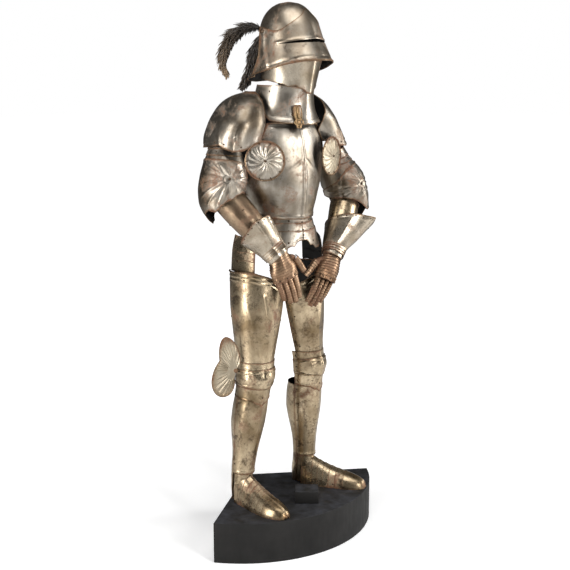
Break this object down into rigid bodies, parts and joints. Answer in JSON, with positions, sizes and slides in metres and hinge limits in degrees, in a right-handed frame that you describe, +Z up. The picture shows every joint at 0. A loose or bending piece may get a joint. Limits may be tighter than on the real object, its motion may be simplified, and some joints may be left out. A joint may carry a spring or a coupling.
{
  "type": "suit of plate armour on a plinth",
  "caption": "Empty late Gothic suit of plate armour, standing with its arms lowered in front, on a low black sector-shaped plinth, with a visored helmet and a feather plume.",
  "frame": {"origin": "On the underside of the plinth, below the middle of the suit", "axes": "+Z up; -Y the way the wearer faces; +X the wearer's left side"},
  "size_m": [0.7978, 0.5057, 1.9535],
  "materials": {
    "polished_steel": "worn polished",
    "warm_steel": "worn polished, yellowed",
    "rusted_steel": "rusted brown",
    "brass": "tarnished",
    "feather": "matt feather vane",
    "plinth_black": "matt black paint"
  },
  "bodies": {
    "suit": {"plinth": "plinth_black", "plinth_block": "plinth_black", "sallet_skull": "polished_steel", "plume_socket": "brass", "plume_back": "feather", "plume_right": "feather", "plume_left": "feather", "bevor_chin": "polished_steel", "bevor_throat": "polished_steel", "bevor_hasp": "brass", "breastplate": "polished_steel", "backplate": "polished_steel", "fauld_1": "polished_steel", "fauld_2": "polished_steel", "fauld_3": "polished_steel", "culet": "polished_steel", "tasset_right": "polished_steel", "tasset_left": "polished_steel", "pauldron_right": "polished_steel", "rerebrace_right": "polished_steel", "couter_right": "polished_steel", "vambrace_right": "polished_steel", "besagew_right": "polished_steel", "pauldron_left": "polished_steel", "rerebrace_left": "polished_steel", "couter_left": "polished_steel", "vambrace_left": "polished_steel", "besagew_left": "polished_steel", "cuff_right": "warm_steel", "cuisse_right": "warm_steel", "knee_lame_upper_right": "warm_steel", "poleyn_right": "warm_steel", "knee_lame_lower_right": "warm_steel", "greave_front_right": "warm_steel", "greave_back_right": "warm_steel", "knee_wing_right": "warm_steel", "sabaton_right": "warm_steel", "cuff_left": "warm_steel", "cuisse_left": "warm_steel", "knee_lame_upper_left": "warm_steel", "poleyn_left": "warm_steel", "knee_lame_lower_left": "warm_steel", "greave_front_left": "warm_steel", "greave_back_left": "warm_steel", "knee_wing_left": "warm_steel", "sabaton_left": "warm_steel", "hand_plate_right": "rusted_steel", "finger_index_right": "rusted_steel", "finger_middle_right": "rusted_steel", "finger_ring_right": "rusted_steel", "finger_little_right": "rusted_steel", "thumb_right": "rusted_steel", "hand_plate_left": "rusted_steel", "finger_index_left": "rusted_steel", "finger_middle_left": "rusted_steel", "finger_ring_left": "rusted_steel", "finger_little_left": "rusted_steel", "thumb_left": "rusted_steel"},
    "visor": {"sallet_visor": "polished_steel"}
  },
  "joints": [
    {"name": "visor_pivot", "type": "hinge", "parent": "suit", "child": "visor", "pos_m": [0, -0.036, 1.85], "axis": [-1, 0, 0], "range_deg": [0, 55]}
  ]
}
